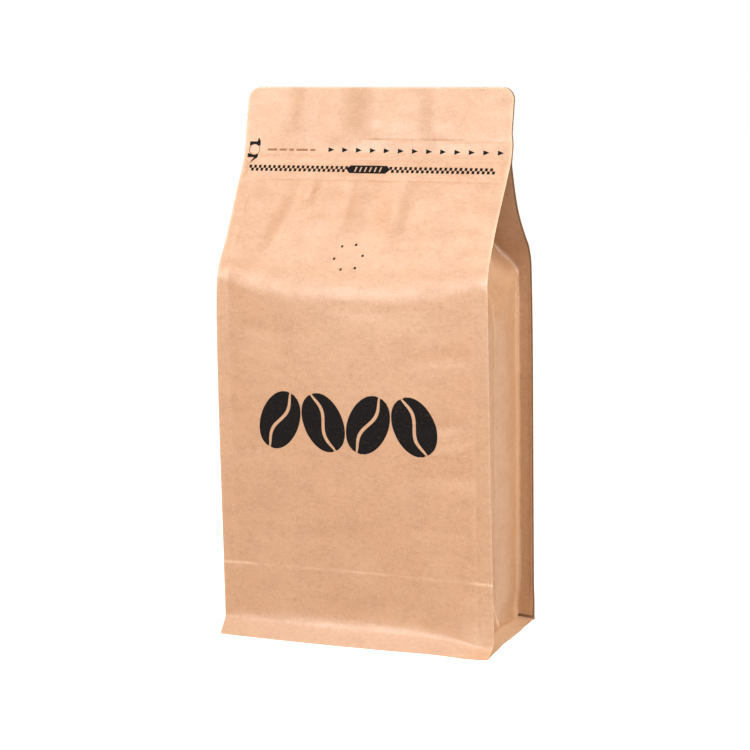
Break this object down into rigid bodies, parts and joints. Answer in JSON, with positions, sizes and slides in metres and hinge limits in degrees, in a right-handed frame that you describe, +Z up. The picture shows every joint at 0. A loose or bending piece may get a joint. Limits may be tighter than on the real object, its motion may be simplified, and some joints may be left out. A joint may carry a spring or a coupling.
{
  "type": "coffee bag",
  "caption": "Shut flat-bottom kraft paper coffee bag with side gussets folded in under a sealed zip lip, upright corner fins and valve pinholes in its sloping front.",
  "frame": {"origin": "middle of the bag's outline seen from above, on the plane that the foot rests on", "axes": "+Z up along the bag's height, -Y out of the printed front panel, +X to the right seen from the front"},
  "size_m": [0.1362, 0.0864, 0.261],
  "materials": {
    "kraft_paper": "matt natural brown kraft paper with fine fibres and pressed zip lines",
    "black_print": "matt black ink printed on the kraft paper"
  },
  "bodies": {
    "root": {"bag": "kraft_paper"}
  },
  "joints": []
}
